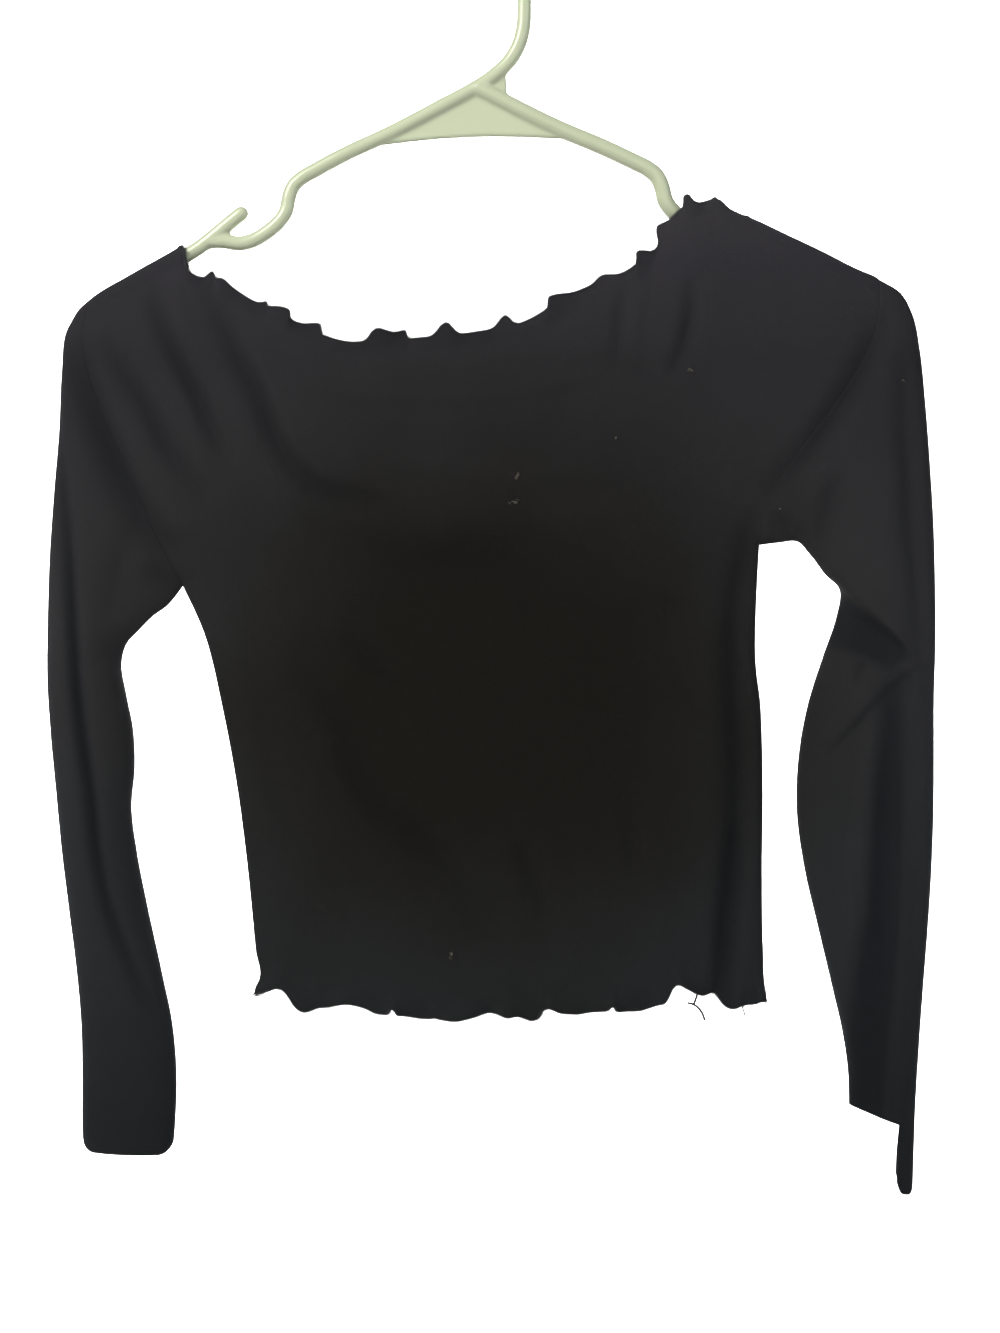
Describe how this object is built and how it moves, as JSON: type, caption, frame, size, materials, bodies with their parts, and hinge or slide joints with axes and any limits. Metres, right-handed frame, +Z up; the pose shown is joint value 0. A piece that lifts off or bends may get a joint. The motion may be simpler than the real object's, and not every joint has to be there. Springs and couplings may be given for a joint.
{
  "type": "crop top on a hanger",
  "caption": "Long-sleeved cropped jersey top with lettuce edges at its wide neckline and hem, hanging on a moulded plastic hanger with strap notches.",
  "frame": {"origin": "the highest point of the hook's inner side, where the hanger rests on its rail", "axes": "+X to the viewer's right across the shoulders, +Y away from the viewer, +Z up"},
  "size_m": [0.4706, 0.041, 0.6864],
  "materials": {
    "jersey": "near-black fine jersey, matt with a faint sheen",
    "hanger_plastic": "pale green moulded plastic, glossy"
  },
  "bodies": {
    "root": {"front": "jersey", "back": "jersey", "sleeve_left": "jersey", "sleeve_right": "jersey", "hanger": "hanger_plastic"}
  },
  "joints": []
}
